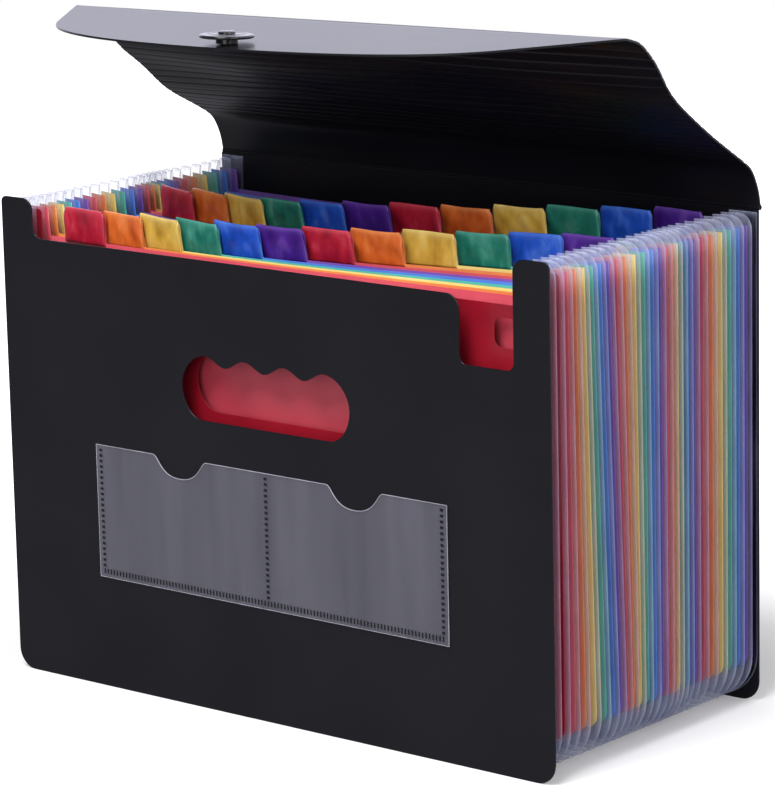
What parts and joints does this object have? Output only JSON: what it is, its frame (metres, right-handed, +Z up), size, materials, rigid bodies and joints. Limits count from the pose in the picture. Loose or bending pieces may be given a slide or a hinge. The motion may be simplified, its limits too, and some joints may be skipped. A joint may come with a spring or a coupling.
{
  "type": "expanding file organizer",
  "caption": "Open expanding file organizer with black covers, a clear pleated gusset, rainbow dividers with tabs and a ribbed hinged cover.",
  "frame": {"origin": "on the table, under the middle of the whole object's box, open cover and lip included", "axes": "+Z up, +X to the right seen from the front, -Y towards the front panel, +Y towards the back panel that carries the cover"},
  "size_m": [0.33, 0.192, 0.3269],
  "materials": {
    "black_sheet": "satin black extruded polypropylene sheet, fine grained",
    "button_plastic": "glossy black moulded plastic",
    "card_film": "frosted clear film with welded edges",
    "gusset_film": "milky clear pleated film",
    "film_red": "red translucent polypropylene film",
    "tab_red": "red glossy film sleeve, slightly wrinkled",
    "film_orange": "orange translucent polypropylene film",
    "tab_orange": "orange glossy film sleeve, slightly wrinkled",
    "film_yellow": "yellow translucent polypropylene film",
    "tab_yellow": "yellow glossy film sleeve, slightly wrinkled",
    "film_green": "green translucent polypropylene film",
    "tab_green": "green glossy film sleeve, slightly wrinkled",
    "film_blue": "blue translucent polypropylene film",
    "tab_blue": "blue glossy film sleeve, slightly wrinkled",
    "film_purple": "purple translucent polypropylene film",
    "tab_purple": "purple glossy film sleeve, slightly wrinkled"
  },
  "bodies": {
    "root": {"front_panel": "black_sheet", "back_panel": "black_sheet", "card_pocket": "card_film", "pleated_gusset": "gusset_film", "front_liner": "film_red", "divider_01": "film_red", "tab_sleeve_01": "tab_red", "divider_02": "film_orange", "tab_sleeve_02": "tab_orange", "divider_03": "film_yellow", "tab_sleeve_03": "tab_yellow", "divider_04": "film_green", "tab_sleeve_04": "tab_green", "divider_05": "film_blue", "tab_sleeve_05": "tab_blue", "divider_06": "film_purple", "tab_sleeve_06": "tab_purple", "divider_07": "film_red", "tab_sleeve_07": "tab_red", "divider_08": "film_orange", "tab_sleeve_08": "tab_orange", "divider_09": "film_yellow", "tab_sleeve_09": "tab_yellow", "divider_10": "film_green", "tab_sleeve_10": "tab_green", "divider_11": "film_blue", "tab_sleeve_11": "tab_blue", "divider_12": "film_purple", "tab_sleeve_12": "tab_purple", "divider_13": "film_red", "tab_sleeve_13": "tab_red", "divider_14": "film_orange", "tab_sleeve_14": "tab_orange", "divider_15": "film_yellow", "tab_sleeve_15": "tab_yellow", "divider_16": "film_green", "tab_sleeve_16": "tab_green", "divider_17": "film_blue", "tab_sleeve_17": "tab_blue", "divider_18": "film_purple", "tab_sleeve_18": "tab_purple", "divider_19": "film_red", "tab_sleeve_19": "tab_red", "divider_20": "film_orange", "tab_sleeve_20": "tab_orange", "divider_21": "film_yellow", "tab_sleeve_21": "tab_yellow", "divider_22": "film_green", "tab_sleeve_22": "tab_green", "divider_23": "film_blue", "tab_sleeve_23": "tab_blue", "divider_24": "film_purple", "tab_sleeve_24": "tab_purple"},
    "cover": {"cover_ribbed": "black_sheet"},
    "lip": {"cover_lip": "black_sheet", "closure_button": "button_plastic", "button_rivet": "button_plastic"}
  },
  "joints": [
    {"name": "cover_hinge", "type": "hinge", "parent": "root", "child": "cover", "pos_m": [0, 0.09561, 0.2358], "axis": [1, 0, 0], "range_deg": [-190, 20]},
    {"name": "lip_hinge", "type": "hinge", "parent": "cover", "child": "lip", "pos_m": [0, -0.00739, 0.3224], "axis": [1, 0, 0], "range_deg": [-60, 30]}
  ]
}
